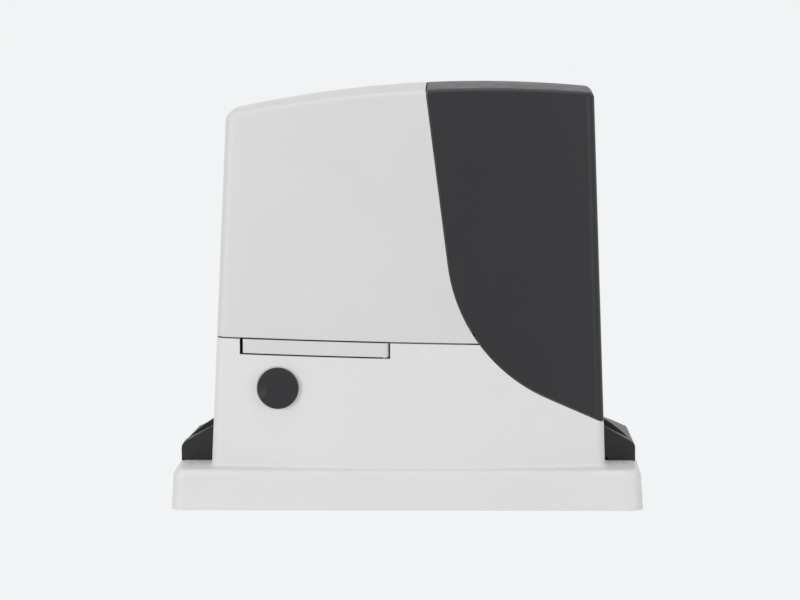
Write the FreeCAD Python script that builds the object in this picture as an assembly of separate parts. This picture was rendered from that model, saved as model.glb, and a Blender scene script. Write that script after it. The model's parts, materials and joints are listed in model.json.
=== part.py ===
import FreeCAD, Part
import math
import os
from FreeCAD import Vector

# Sliding gate motor. Millimetres. +X right, +Y towards the gate, +Z up.
# The origin is the centre of the base's underside.

# ---- base flange -------------------------------------------------------------
base_width = 330.0
base_front = -97.5
base_rear = 67.5
base_height = 28.0
base_draft = math.radians(3.75)
base_corner_r = 9.0
base_edge_r = 5.0
base_root_r = 2.0          # hollow fillet where the body rises from the base
base_skirt = 6.0
base_top = 8.0
rib_width = 4.0

# ---- body: lower casting, upper cover and side cover share one outer form --------
body_left = -137.8         # at the base's top
body_right = 139.1
body_front = -90.0         # in the middle, where the bow is furthest forward
body_rear = 35.0
left_draft = math.radians(3.1)
right_draft = math.radians(1.9)
front_draft = math.radians(1.15)
rear_draft = math.radians(1.0)
bow_r = 1000.0
body_corner_r = 7.0
crown_top = 294.8
crown_apex_x = 48.0
crown_apex_y = -25.0
crown_r_across = 820.0
crown_r_along = 600.0
crown_edge_r = 4.5
wall = 3.0
seam = 1.1                 # visible gap between neighbouring covers
lip = 1.8                  # thickness of the tongues behind the seams
lip_height = 5.0
lip_clearance = 0.25

# ---- seams, in the XZ plane ------------------------------------------------------
split_z = 116.5            # split line's height at x = 0
split_slope = -0.0225
sweep_top = (15.5, 286.0)  # a point on the side cover's long straight edge
sweep_lean = math.radians(7.05)
sweep_low = (109.9, 72.0)  # a point on its lower straight edge
sweep_fall = math.radians(24.5)
sweep_r = 118.0            # arc that joins the two

# ---- release handle ----------------------------------------------------------------
handle_left = -114.0
handle_right = -11.7
handle_drop = 9.8          # panel height under the split line's gap
finger_gap = 2.3
hinge_gap = 0.9
knuckle_r = 3.2
handle_pin_r = 1.6
crank_r = 5.0
release_travel = crank_r * math.sqrt(2.0)
peg_r = 1.5

# ---- lock ----------------------------------------------------------------------------
lock_x = -89.4
lock_z = 84.65
disc_r = 14.5
disc_thickness = 2.8
disc_pivot_rise = 10.8     # the disc hangs from a pin above its centre
disc_pin_r = 2.0
pad_depth = 8.0            # the lock pad's depth behind its face
lock_body_r = 7.0
lock_barrel_r = 5.0
cam_reach = 27.0

# ---- drive ---------------------------------------------------------------------------
shaft_z = 92.0
wheel_y = -12.0
worm_module = 2.5
wheel_teeth = 32
wheel_width = 14.0
worm_pitch_r = 10.0
backlash = 0.75
pinion_module = 4.0
pinion_teeth = 15
pinion_front = 69.5
pinion_width = 28.0
journal_r = 10.0
hub_seat_r = 12.5
hex_flats = 21.0
running = 0.05             # radial running clearance
motor_r = 38.0
motor_bottom = 150.0
motor_length = 98.0
case_r = 50.0
case_wall = 5.0
case_joint_y = -30.0
case_rear_y = 12.0
boss_r = 30.0
boss_end = 62.0
bearing_outer_r = 23.5
bearing_width = 14.0
rear_bearing_y = 44.0
front_bearing_y = -68.0
sleeve_r = 18.0
sleeve_front = -43.0
sleeve_rear = -21.0
groove_reach = 15.5        # from the sleeve's rear face to its groove
dog_length = 5.5
spring_r = 13.6
spring_wire_r = 0.45
spring_turns = 3
spring_gap = 1.0
wheel_phase = math.pi / 2  # turns a tooth gap of the wheel to the worm's thread
worm_half = 18.0
washer_recess = 10.0
key_size = 6.0
case_screw_angles = (30, 90, 150, 210, 270, 330)
case_screw_r = 54.0
tube_r = 17.5              # worm's tube on the gear case
foot_z = 34.0
motor_bolt_angles = (45, 135, 225, 315)
motor_bolt_r = 33.0

# ---- fixings -------------------------------------------------------------------------
slot_x = 150.0
slot_y = (-32.0, 28.0)
slot_width = 11.0
slot_length = 22.0
level_x = 151.8
level_y = (-68.0, 57.0)
level_r = 3.0
level_top = 13.0           # top of the levelling screws, down in their holes
level_length = 12.5
level_socket_r = 1.6
cap_outer = 162.0
cap_front = -59.0
cap_rim = 11.0             # the front band's depth
cap_rim_step = 0.8         # how far the front band stands in from the outer wall
cap_slit = 1.2
cap_rear = 45.0
cap_rear_share = 0.5       # the crest's height at the rear end, as a share of that at the front
cap_wall = 2.5
cap_gap = 0.6
cap_seat_gap = 0.3
# Crests of the fixing covers, as (distance in from the outer wall, height over the base's top):
# a bowed slope through the first three points, and the rounded shoulder through the last three.
cap_crest = ((28.0, 31.4), (11.5, 20.2), (3.1, 12.6), (0.8, 10.0), (0.0, 6.5))
cap_rim_crest = ((27.2, 26.8), (15.0, 20.5), (4.0, 14.3), (1.0, 11.9), (0.0, 8.5))
grommet_x = 112.0
grommet_y = 12.0
grommet_hole_r = 12.0
grommet_seat_r = 17.0

cover_screw_x = (-100.0, -45.0)
cover_screw_z = split_z + 9.0
cover_screw_r = 2.0
side_screw_x = 112.0
side_screw_z = 86.0
side_screw_r = 2.5

# ---- electrics -----------------------------------------------------------------------
board_x = (38.0, 122.0)
board_z = (130.0, 264.0)
board_y = -58.0
board_thickness = 1.6
button_z = board_z[0] + 42.0
button_x = (board_x[0] + 12.0, board_x[0] + 22.0, board_x[0] + 32.0)
transformer_x = -78.0
transformer_y = -34.0      # its front
transformer_z = 205.0
transformer_r = 44.0
transformer_bore_r = 15.0
transformer_length = 40.0
transformer_bolt_r = 3.0
limit_y = 48.0

# ---- worked out from the values above --------------------------------------------------
wheel_pitch_r = worm_module * wheel_teeth / 2
worm_x = wheel_pitch_r + worm_pitch_r
groove_y = sleeve_rear - groove_reach
limit_z = shaft_z + boss_r
axis_y = Vector(0, 1, 0)
axis_z = Vector(0, 0, 1)
FAR = 400.0


# ---- small helpers -------------------------------------------------------------------
def box(x0, x1, y0, y1, z0, z1):
    return Part.makeBox(x1 - x0, y1 - y0, z1 - z0, Vector(x0, y0, z0))


def rod_y(r, y0, y1, x, z):
    return Part.makeCylinder(r, y1 - y0, Vector(x, y0, z), axis_y)


def rod_z(r, z0, z1, x, y):
    return Part.makeCylinder(r, z1 - z0, Vector(x, y, z0), axis_z)


def ring_y(ro, ri, y0, y1, x, z):
    return rod_y(ro, y0, y1, x, z).cut(rod_y(ri, y0 - 1, y1 + 1, x, z))


def ring_z(ro, ri, z0, z1, x, y):
    return rod_z(ro, z0, z1, x, y).cut(rod_z(ri, z0 - 1, z1 + 1, x, y))


def hexagon_y(flats, y0, y1, x, z):
    corner = flats / math.sqrt(3.0)
    points = []
    for i in range(7):
        a = math.radians(60 * i)
        points.append(Vector(x + corner * math.cos(a), y0, z + corner * math.sin(a)))
    return Part.Face(Part.makePolygon(points)).extrude(Vector(0, y1 - y0, 0))


def prism_y(points, y0, y1):
    """Prism along Y over a closed polygon of (x, z) points."""
    ring = [Vector(x, y0, z) for x, z in points]
    return Part.Face(Part.makePolygon(ring + ring[:1])).extrude(Vector(0, y1 - y0, 0))


def fuse(first, *others):
    return first.fuse(list(others)).removeSplitter()


def round_edges(shape, radius, chosen):
    return shape.makeFillet(radius, [e for e in shape.Edges if chosen(e.BoundBox)])


def turned(shape, degrees, centre, axis):
    copy = shape.copy()
    copy.rotate(Vector(*centre), axis, degrees)
    return copy


def moved(shape, x, y, z):
    copy = shape.copy()
    copy.translate(Vector(x, y, z))
    return copy


def group(shapes):
    return Part.makeCompound(list(shapes))


# ---- body form ------------------------------------------------------------------------
def body_plan(z, inset):
    """The body's outline at height z, moved in by inset."""
    rise = z - base_height
    xl = body_left + rise * math.tan(left_draft) + inset
    xr = body_right - rise * math.tan(right_draft) - inset
    yf = body_front + rise * math.tan(front_draft) + inset
    yr = body_rear - rise * math.tan(rear_draft) - inset
    r = bow_r - inset

    def bow(x):
        return yf + r - math.sqrt(r * r - x * x)

    front = Part.Arc(Vector(xl, bow(xl), z), Vector(0, yf, z), Vector(xr, bow(xr), z)).toShape()
    right = Part.makeLine(Vector(xr, bow(xr), z), Vector(xr, yr, z))
    rear = Part.makeLine(Vector(xr, yr, z), Vector(xl, yr, z))
    left = Part.makeLine(Vector(xl, yr, z), Vector(xl, bow(xl), z))
    return Part.Wire([front, right, rear, left])


def crown_solid(inset):
    """Everything under the double-curved top."""
    top = crown_top - inset
    ra = crown_r_across - inset
    hub = top - (crown_r_along - inset)
    reach = 260.0

    def arc_z(x):
        return top - ra + math.sqrt(ra * ra - (x - crown_apex_x) ** 2)

    xa, xb = crown_apex_x - reach, crown_apex_x + reach
    low = base_height - 20.0
    arc = Part.Arc(Vector(xa, 0, arc_z(xa)), Vector(crown_apex_x, 0, top), Vector(xb, 0, arc_z(xb))).toShape()
    sides = Part.makePolygon([Vector(xb, 0, arc_z(xb)), Vector(xb, 0, low), Vector(xa, 0, low),
                              Vector(xa, 0, arc_z(xa))])
    face = Part.Face(Part.Wire([arc] + sides.Edges))
    face.translate(Vector(0, crown_apex_y, 0))
    pivot = Vector(0, crown_apex_y, hub)
    swing = 16.0
    face.rotate(pivot, Vector(1, 0, 0), -swing)
    return face.revolve(pivot, Vector(1, 0, 0), 2 * swing)


forms = {}


def body_form(inset):
    """The body's solid outer form, moved in by inset; it starts inside the base flange."""
    if inset not in forms:
        start = base_height - 4.0
        form = Part.makeLoft([body_plan(start, inset), body_plan(crown_top + 12, inset)], True, True)
        upright = max(body_corner_r - inset, 1.0)
        form = round_edges(form, upright, lambda b: b.ZLength > 100)
        form = form.common(crown_solid(inset))
        edge_r = max(crown_edge_r - inset, 0.8)
        forms[inset] = round_edges(form, edge_r, lambda b: b.ZMin > crown_top - 60)
    return forms[inset]


def split_at(x):
    return split_z + split_slope * x


def above_split(raise_by):
    points = [(-FAR, split_at(-FAR) + raise_by), (FAR, split_at(FAR) + raise_by), (FAR, FAR), (-FAR, FAR)]
    return prism_y(points, -FAR, FAR)


def sweep_region(shift):
    """The side cover's region, its edge moved towards the side cover by shift."""
    n1 = Vector(math.cos(sweep_lean), 0, math.sin(sweep_lean))
    n2 = Vector(math.sin(sweep_fall), 0, math.cos(sweep_fall))
    d1 = Vector(-math.sin(sweep_lean), 0, math.cos(sweep_lean))
    d2 = Vector(math.cos(sweep_fall), 0, -math.sin(sweep_fall))
    a = n1.x * sweep_top[0] + n1.z * sweep_top[1] + sweep_r
    b = n2.x * sweep_low[0] + n2.z * sweep_low[1] + sweep_r
    det = n1.x * n2.z - n2.x * n1.z
    centre = Vector((a * n2.z - b * n1.z) / det, -FAR, (n1.x * b - n2.x * a) / det)
    r = sweep_r - shift
    n_mid = (n1 + n2).normalize()
    start = centre - n1 * r
    middle = centre - n_mid * r
    end = centre - n2 * r
    top = start + d1 * FAR
    side = end + d2 * FAR
    edges = [Part.makeLine(top, start), Part.Arc(start, middle, end).toShape(), Part.makeLine(end, side)]
    corner = Vector(FAR * 2, -FAR, FAR * 2)
    outer = [side, Vector(FAR * 2, -FAR, side.z), corner, Vector(top.x, -FAR, FAR * 2), top]
    edges += Part.makePolygon(outer).Edges
    return Part.Face(Part.Wire(edges)).extrude(Vector(0, 2 * FAR, 0))


# ---- casting: base flange and lower body ---------------------------------------------------
def base_form(inset, z0, z1):
    """The flange's drafted block between two heights, moved in by inset."""
    def plan(z):
        d = z * math.tan(base_draft) + inset
        x = base_width / 2 - d
        y0 = base_front + d
        y1 = base_rear - d
        corners = [Vector(-x, y0, z), Vector(x, y0, z), Vector(x, y1, z), Vector(-x, y1, z)]
        return Part.makePolygon(corners + corners[:1])

    block = Part.makeLoft([plan(z0), plan(z1)], True, True)
    return round_edges(block, max(base_corner_r - inset, 2.0), lambda b: b.ZLength > (z1 - z0) * 0.9)


def slots():
    """Slotted holes for the anchor bolts, running along Y."""
    cuts = []
    half = slot_length / 2 - slot_width / 2
    r = slot_width / 2
    for x in (-slot_x, slot_x):
        for y in slot_y:
            cuts.append(box(x - r, x + r, y - half, y + half, -1, base_height + 1))
            cuts.append(rod_z(r, -1, base_height + 1, x, y - half))
            cuts.append(rod_z(r, -1, base_height + 1, x, y + half))
    return cuts


def output_opening(clearance):
    return rod_y(boss_r + clearance, body_rear - 20, body_rear + 10, 0, shaft_z)


def handle_window(z_low):
    """Opening for the handle panel: left finger gap, hinge gap, and the split line above."""
    x0 = handle_left - finger_gap
    x1 = handle_right + hinge_gap
    points = [(x0, split_at(x0) - handle_drop - 1.5 * seam), (x1, split_at(x1) - handle_drop - 1.5 * seam)]
    points += [(x1, z_low), (x0, z_low)]
    return prism_y(points, body_front - 20, body_front + 35)


def surface_y(x, z, inset):
    """Y of the body's front face, moved in by inset."""
    r = bow_r - inset
    return body_front + (z - base_height) * math.tan(front_draft) + inset + r - math.sqrt(r * r - x * x)


hinge_x = handle_right - knuckle_r
hinge_y = surface_y(hinge_x, split_z - 5, 0) + knuckle_r
pad_y = surface_y(lock_x + disc_r, lock_z, 0) - 0.2
disc_back_y = pad_y - 0.2


def seam_tongue(region_low, region_seam, region_high):
    """Tongue behind a seam: rooted in the wall on one side, clear of the wall on the other."""
    deep = body_form(wall + lip_clearance + lip)
    rooted = body_form(wall - 0.5).cut(deep).common(region_low.cut(region_seam))
    free = body_form(wall + lip_clearance).cut(deep).common(region_seam.cut(region_high))
    return rooted, free


def make_lower_body():
    flange = base_form(0, 0, base_height)
    flange = round_edges(flange, base_edge_r, lambda b: b.ZMin > base_height - 0.01)
    walls = body_form(0).cut(above_split(-seam / 2)).cut(sweep_region(-seam / 2))
    solid = fuse(flange, walls)

    def root(b):
        flat = b.ZLength < 0.01 and abs(b.ZMin - base_height) < 0.01
        inside = b.XMin > body_left - 1 and b.XMax < body_right + 1
        return flat and inside and b.YMin > body_front - 1 and b.YMax < body_rear + 1

    solid = round_edges(solid, base_root_r, root)
    hollow = body_form(wall).common(box(-FAR, FAR, -FAR, FAR, base_height, FAR))
    solid = solid.cut(hollow)
    under = base_height - base_top
    solid = solid.cut(base_form(base_skirt, -1, under))
    # underside: sump pad under the gear case, ribs, and bosses for slots and levelling screws
    adds = [box(-62, 84, -48, 34, 0, under + 1)]
    inner = base_form(base_skirt - 0.5, 0, under + 1)
    for x in (-110, -86, 90):
        adds.append(box(x - rib_width / 2, x + rib_width / 2, -FAR, FAR, 3, under + 1).common(inner))
    for y in (-60, 48):
        adds.append(box(-FAR, FAR, y - rib_width / 2, y + rib_width / 2, 3, under + 1).common(inner))
    for x in (-slot_x, slot_x):
        for y in slot_y:
            adds.append(box(x - 10, x + 10, y - 17, y + 17, 0, under + 1).common(inner))
        for y in level_y:
            adds.append(rod_z(7, 2, under + 1, math.copysign(level_x, x), y))
    # inside: pads for the gear case, pin boss for the handle
    for x in (-40, 40):
        adds.append(box(x - 10, x + 10, -25, 10, base_height - 1, foot_z))
    boss = rod_z(5.5, 88, split_at(hinge_x) - handle_drop - 1.5 * seam, hinge_x, hinge_y)
    adds.append(boss.common(body_form(0.2)))
    # flat pad that carries the lock disc, and the lock's seat
    adds.append(rod_y(disc_r + 1, pad_y, pad_y + pad_depth, lock_x, lock_z))
    # tongues behind the covers' edges
    low, free = seam_tongue(above_split(-lip_height - 1), above_split(-seam / 2), above_split(lip_height))
    keep = sweep_region(-lip_height - 1)
    adds += [low.cut(keep), free.cut(keep)]
    low, free = seam_tongue(sweep_region(-lip_height - 1), sweep_region(-seam / 2), sweep_region(lip_height))
    keep = above_split(-1.0)
    adds += [low.cut(keep), free.cut(above_split(lip_height))]
    # tabs behind the rear walls for the cover screws
    rear_in = body_rear - (split_z - base_height) * math.tan(rear_draft) - wall - lip_clearance
    for x in cover_screw_x:
        adds.append(box(x - 8, x + 8, rear_in - 5, rear_in, split_z - 16, split_z + 16))
    adds.append(box(side_screw_x - 8, side_screw_x + 8, rear_in - 5, rear_in - 0.2, 54, side_screw_z + 9))
    adds.append(box(side_screw_x - 8, side_screw_x + 8, rear_in - 5, rear_in + 2, 50, 62))
    solid = solid.fuse(adds)
    cuts = slots()
    for x in (-level_x, level_x):
        for y in level_y:
            cuts.append(rod_z(level_r, -1, base_height + 1, x, y))
    cuts += feet_holes()
    cuts.append(handle_window(FAR / 2))
    cuts.append(output_opening(1.0))
    cuts.append(rod_z(handle_pin_r, 92, 130, hinge_x, hinge_y))
    cuts.append(rod_y(lock_body_r, pad_y - 1, pad_y + 20, lock_x, lock_z))
    cuts.append(rod_y(disc_pin_r + running, pad_y - 1, pad_y + 20, lock_x, lock_z + disc_pivot_rise))
    cuts.append(rod_z(grommet_seat_r - 2, -1, base_height + 1, grommet_x, grommet_y))
    for x in cover_screw_x:
        cuts.append(rod_y(cover_screw_r, rear_in - 10, rear_in + 1, x, cover_screw_z))
    cuts.append(rod_y(side_screw_r, rear_in - 10, rear_in + 3, side_screw_x, side_screw_z))
    return solid.cut(cuts).removeSplitter()


def shell():
    return body_form(0).cut(body_form(wall))


def make_upper_cover():
    cover = shell().common(above_split(seam / 2)).cut(sweep_region(-seam / 2))
    deep = body_form(wall + lip_clearance + lip)
    band = sweep_region(-lip_height - 1).cut(sweep_region(-seam / 2)).common(above_split(lip_height + 2))
    rooted = body_form(wall - 0.5).cut(deep).common(band)
    band = sweep_region(-seam / 2).cut(sweep_region(lip_height)).common(above_split(lip_height + 2))
    free = body_form(wall + lip_clearance).cut(deep).common(band)
    cover = cover.fuse([rooted, free]).removeSplitter()
    cuts = [output_opening(1.0)]
    for x in cover_screw_x:
        cuts.append(rod_y(2.2, 0, FAR, x, cover_screw_z))
    return cover.cut(cuts)


def make_side_cover():
    cover = shell().common(sweep_region(seam / 2))
    slot = box(side_screw_x - 3.2, side_screw_x + 3.2, 0, FAR, 40, side_screw_z)
    return cover.cut([slot, rod_y(3.2, 0, FAR, side_screw_x, side_screw_z)]).removeSplitter()


# ---- release handle, lock ----------------------------------------------------------------------
def make_release_handle():
    top = -seam / 2
    low = -handle_drop - seam / 2
    points = [(handle_left, split_at(handle_left) + low), (hinge_x, split_at(hinge_x) + low)]
    points += [(hinge_x, split_at(hinge_x) + top), (handle_left, split_at(handle_left) + top)]
    skin = shell().common(prism_y(points, -FAR, 0))
    z0 = split_at(handle_right) + low
    z1 = split_at(handle_left) + top
    knuckle = rod_z(knuckle_r, z0, z1, hinge_x, hinge_y)

    def panel_frame(margin, end):
        """The panel's outline, margin inside its long edges and end inside its short ones."""
        left, right = handle_left + end, hinge_x - 10 - end
        return [(left, points[0][1] + margin), (right, points[1][1] + margin),
                (right, points[2][1] - margin), (left, points[3][1] - margin)]

    # stiffening frame on the panel's back, clear of the hinge
    block = body_form(wall - 0.5).cut(body_form(wall + 4)).common(prism_y(panel_frame(1.2, 4), -FAR, 0))
    block = block.cut(prism_y(panel_frame(3.2, 6), surface_y(0, split_z, wall), 0))
    # crank that pulls the release yoke
    z_web = split_at(handle_right) + low + 0.3
    px = hinge_x - crank_r / math.sqrt(2.0)
    py = hinge_y + crank_r / math.sqrt(2.0)
    web = box(-crank_r, 0, -2.2, 2.2, z_web, z_web + 2.6)
    web = moved(turned(web, -45, (0, 0, 0), axis_z), hinge_x, hinge_y, 0)
    web_end = rod_z(2.2, z_web, z_web + 2.6, px, py)
    peg = rod_z(peg_r, z_web, z_web + 6.8, px, py)
    # hook that the lock's cam holds
    hook_x = lock_x
    inner = pad_y + 26
    arm_top = split_at(hook_x) - 2.2
    arm = box(hook_x - 5, hook_x + 5, pad_y + 3, inner, arm_top - 3, arm_top)
    hook = box(hook_x - 5, hook_x + 5, inner - 2.5, inner, split_at(hook_x) - handle_drop + 0.6, arm_top)
    solid = fuse(skin, knuckle, block, web, web_end, peg, arm, hook)
    solid = solid.cut(rod_z(handle_pin_r + running, z0 - 1, z1 + 1, hinge_x, hinge_y))
    trim = [(-FAR, split_at(-FAR) + top), (FAR, split_at(FAR) + top), (FAR, FAR), (-FAR, FAR)]
    return solid.cut(prism_y(trim, -FAR, FAR))


def make_release_yoke():
    px = hinge_x - crank_r / math.sqrt(2.0)
    py = hinge_y + crank_r / math.sqrt(2.0)
    z0 = shaft_z + sleeve_r + 1.4
    z1 = z0 + 3.0
    right = hinge_x - knuckle_r - 0.2
    play = peg_r + 0.25
    plate = box(px - 5.2, right, py - 3.2, py + 6, z0, z1)
    arm = box(px - 5.2, right, py + 5, groove_y + 4, z0, z1)
    cross = box(px - 5.2, 5, groove_y - 4, groove_y + 4, z0, z1)
    neck = box(-5, 5, groove_y - 1.3, groove_y + 1.3, shaft_z + sleeve_r - 2.3, z0 + 1)
    fork = ring_y(sleeve_r - 0.5, sleeve_r - 2.7, groove_y - 1.3, groove_y + 1.3, 0, shaft_z)
    fork = fork.cut(box(-FAR, FAR, -FAR, FAR, -FAR, shaft_z))
    solid = fuse(plate, arm, cross, neck, fork)
    # slot for the handle's peg, open beside the knuckle
    return solid.cut(box(px - crank_r * 0.3 - play, hinge_x, py - play, py + play, z0 - 1, z1 + 1))


def make_lock_cover_disc():
    back = disc_back_y
    pin_z = lock_z + disc_pivot_rise
    disc = rod_y(disc_r, back - disc_thickness, back, lock_x, lock_z)
    disc = round_edges(disc, 0.9, lambda b: b.YLength < 0.01 and b.YMin < back - 1)
    stub = rod_y(disc_pin_r, back - 1, pad_y + pad_depth + 1, lock_x, pin_z)
    snap = rod_y(disc_pin_r + 0.6, pad_y + pad_depth + 0.2, pad_y + pad_depth + 1.4, lock_x, pin_z)
    slit = box(lock_x - 0.5, lock_x + 0.5, pad_y + 3, pad_y + 20, pin_z - 5, pin_z + 5)
    scoop = Part.makeSphere(30.0, Vector(lock_x - 17, back - disc_thickness - 28.6, lock_z))
    return fuse(disc, stub, snap).cut([slit, scoop])


def make_lock_parts():
    y0 = pad_y + 0.6
    end = y0 + 19
    housing = ring_y(lock_body_r, lock_barrel_r + running, y0, end, lock_x, lock_z)
    nut = ring_y(lock_body_r + 1.1, lock_body_r, pad_y + pad_depth, pad_y + pad_depth + 3, lock_x, lock_z)
    barrel = rod_y(lock_barrel_r, y0 + 0.4, end + 1, lock_x, lock_z)
    barrel = barrel.cut(box(lock_x - 0.9, lock_x + 0.9, y0, y0 + 9, lock_z - 3.6, lock_z + 3.6))
    cam = box(lock_x - 6, lock_x + cam_reach, end + 1, end + 3.4, lock_z - 5, lock_z + 5)
    cam = round_edges(cam, 3.0, lambda b: b.YLength > 2 and b.XLength < 0.01 and b.ZLength < 0.01)
    return {"lock_housing": group([housing, nut]), "lock_barrel": barrel, "lock_cam": cam}


# ---- gears --------------------------------------------------------------------------------------
def tooth_gear_wire(module, teeth, root_r, tip_r, thickness, turn, y):
    """Closed gear outline in the plane y; thickness is the tooth's arc at the pitch circle."""
    pitch_r = module * teeth / 2
    base_r = pitch_r * math.cos(math.radians(20))

    def involute_angle(r):
        a = math.acos(min(1.0, base_r / r))
        return math.tan(a) - a

    half = thickness / (2 * pitch_r) + involute_angle(pitch_r)

    def point(r, angle):
        return Vector(r * math.sin(angle), y, r * math.cos(angle))

    start_r = max(root_r, base_r)
    mid_r = (start_r + tip_r) / 2
    edges = []
    for i in range(teeth):
        c = 2 * math.pi * i / teeth + turn
        nxt = 2 * math.pi * (i + 1) / teeth + turn
        left = [point(r, c - half + involute_angle(r)) for r in (start_r, mid_r, tip_r)]
        right = [point(r, c + half - involute_angle(r)) for r in (tip_r, mid_r, start_r)]
        foot = point(root_r, c - half)
        foot_out = point(root_r, c + half)
        next_foot = point(root_r, nxt - half)
        if start_r > root_r + 0.01:
            edges.append(Part.makeLine(foot, left[0]))
        edges.append(Part.Arc(*left).toShape())
        edges.append(Part.Arc(left[2], point(tip_r, c), right[0]).toShape())
        edges.append(Part.Arc(*right).toShape())
        if start_r > root_r + 0.01:
            edges.append(Part.makeLine(right[2], foot_out))
            edges.append(Part.Arc(foot_out, point(root_r, (c + nxt) / 2), next_foot).toShape())
        else:
            last = point(start_r, nxt - half + involute_angle(start_r))
            edges.append(Part.Arc(right[2], point(start_r, (c + nxt) / 2), last).toShape())
    return Part.Wire(edges)


def make_pinion():
    r = pinion_module * pinion_teeth / 2
    thickness = math.pi * pinion_module / 2 - 0.2
    wire = tooth_gear_wire(pinion_module, pinion_teeth, r - 1.25 * pinion_module, r + pinion_module,
                           thickness, 0, 0)
    gear = Part.Face(wire).extrude(Vector(0, pinion_width, 0))
    bevel = Part.makeCone(r + pinion_module - 1.5, r + pinion_module + pinion_width, pinion_width + 1.5,
                          Vector(0, 0, 0), axis_y)
    other = Part.makeCone(r + pinion_module + pinion_width, r + pinion_module - 1.5, pinion_width + 1.5,
                          Vector(0, -1.5, 0), axis_y)
    gear = gear.common(bevel).common(other)
    gear = moved(gear, 0, pinion_front, shaft_z)
    end = pinion_front + pinion_width
    cuts = [rod_y(journal_r, pinion_front - 1, end + 1, 0, shaft_z)]
    cuts.append(rod_y(14.0, end - washer_recess, end + 1, 0, shaft_z))
    cuts.append(key_box(pinion_front - 1, end + 1, 2.8))
    return gear.cut(cuts)


def key_box(y0, y1, height):
    """Space of the pinion's key above the shaft's surface, down to its seat in the shaft."""
    z = shaft_z + journal_r
    return box(-key_size / 2, key_size / 2, y0, y1, z - 3.5, z + height)


def make_output_shaft():
    rear_end = pinion_front + pinion_width - washer_recess - 0.5
    hex_front = front_bearing_y + bearing_width
    collar = wheel_y + 16
    parts = [rod_y(journal_r, front_bearing_y - 2, hex_front + 1, 0, shaft_z)]
    parts.append(hexagon_y(hex_flats, hex_front, sleeve_rear, 0, shaft_z))
    parts.append(rod_y(hub_seat_r, sleeve_rear, collar, 0, shaft_z))
    parts.append(rod_y(14.0, collar, collar + 4, 0, shaft_z))
    parts.append(rod_y(hub_seat_r, collar + 4, rear_bearing_y, 0, shaft_z))
    parts.append(rod_y(journal_r, rear_bearing_y, rear_end, 0, shaft_z))
    shaft = fuse(*parts)
    key_seat = key_box(pinion_front + 1, rear_end - 3, 1)
    return shaft.cut([key_seat, rod_y(4.0, rear_end - 20, rear_end + 1, 0, shaft_z)])


def make_pinion_fixings():
    end = pinion_front + pinion_width
    seat = end - washer_recess
    rear_end = seat - 0.5
    key = box(-key_size / 2, key_size / 2, pinion_front + 1, rear_end - 3, shaft_z + journal_r - 3.5,
              shaft_z + journal_r + 2.5)
    washer = ring_y(13.0, 4.2, seat, seat + 2, 0, shaft_z)
    head = hexagon_y(13.0, seat + 2, seat + 7, 0, shaft_z)
    screw = fuse(head, rod_y(4.0, rear_end - 18, seat + 2.5, 0, shaft_z))
    return {"pinion_key": key, "pinion_screw": group([washer, screw])}


def make_wheel_parts():
    pitch = math.pi * worm_module
    lead_angle = math.atan(worm_module / (2 * worm_pitch_r))
    twist = math.tan(lead_angle) * wheel_width / 2 / wheel_pitch_r
    thickness = pitch / 2 - backlash
    wires = []
    for side in (-1, 1):
        wires.append(tooth_gear_wire(worm_module, wheel_teeth, wheel_pitch_r - 1.2 * worm_module,
                                     wheel_pitch_r + worm_module, thickness, wheel_phase + side * twist,
                                     side * wheel_width / 2))
    rim = Part.makeLoft(wires, True, True)
    rim = moved(rim, 0, wheel_y, shaft_z)
    rim_bore = 30.0
    rim = rim.cut(rod_y(rim_bore, -FAR, FAR, 0, shaft_z))
    front = sleeve_rear + 0.4
    rear = wheel_y + 15.6
    hub = ring_y(20.0, 14.5, front, rear, 0, shaft_z)
    web = ring_y(rim_bore, 19.0, wheel_y - 5, wheel_y + 5, 0, shaft_z)
    hub = fuse(hub, web)
    holes = []
    for i in range(6):
        a = math.radians(60 * i + 30)
        holes.append(rod_y(2.5, -FAR, FAR, 25 * math.cos(a), shaft_z + 25 * math.sin(a)))
    for i in range(4):
        holes.append(turned(box(14, 21, front - 1, front + dog_length + 1, shaft_z - 3.6, shaft_z + 3.6),
                            90 * i, (0, 0, shaft_z), axis_y))
    hub = hub.cut(holes)
    bush = ring_y(14.5, hub_seat_r + running, front + dog_length + 1.5, rear, 0, shaft_z)
    return {"worm_wheel": rim, "wheel_hub": hub, "wheel_bush": bush}


def make_clutch_sleeve():
    body = rod_y(sleeve_r, sleeve_front, sleeve_rear, 0, shaft_z)
    body = body.cut(ring_y(sleeve_r + 1, sleeve_r - 3, groove_y - 1.8, groove_y + 1.8, 0, shaft_z))
    dogs = []
    for i in range(4):
        dogs.append(turned(box(14.8, sleeve_r, sleeve_rear - 1, sleeve_rear + dog_length, shaft_z - 3.3,
                               shaft_z + 3.3), 90 * i, (0, 0, shaft_z), axis_y))
    solid = fuse(body, *dogs)
    return solid.cut(hexagon_y(hex_flats + 4 * running, -FAR, FAR, 0, shaft_z))


def make_clutch_spring():
    length = sleeve_front - front_bearing_y - bearing_width - 2 * spring_gap
    helix = Part.makeHelix(length / spring_turns, length, spring_r)
    corners = []
    for i in range(8):
        angle = math.pi * (i + 0.5) / 4
        corners.append(Vector(spring_r + spring_wire_r * math.cos(angle), 0, spring_wire_r * math.sin(angle)))
    profile = Part.makePolygon(corners + corners[:1])
    coil = Part.Wire(helix.Edges).makePipeShell([profile], True, True)
    coil.rotate(Vector(0, 0, 0), Vector(1, 0, 0), -90)
    return moved(coil, 0, sleeve_front - spring_gap - length, shaft_z)


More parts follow.
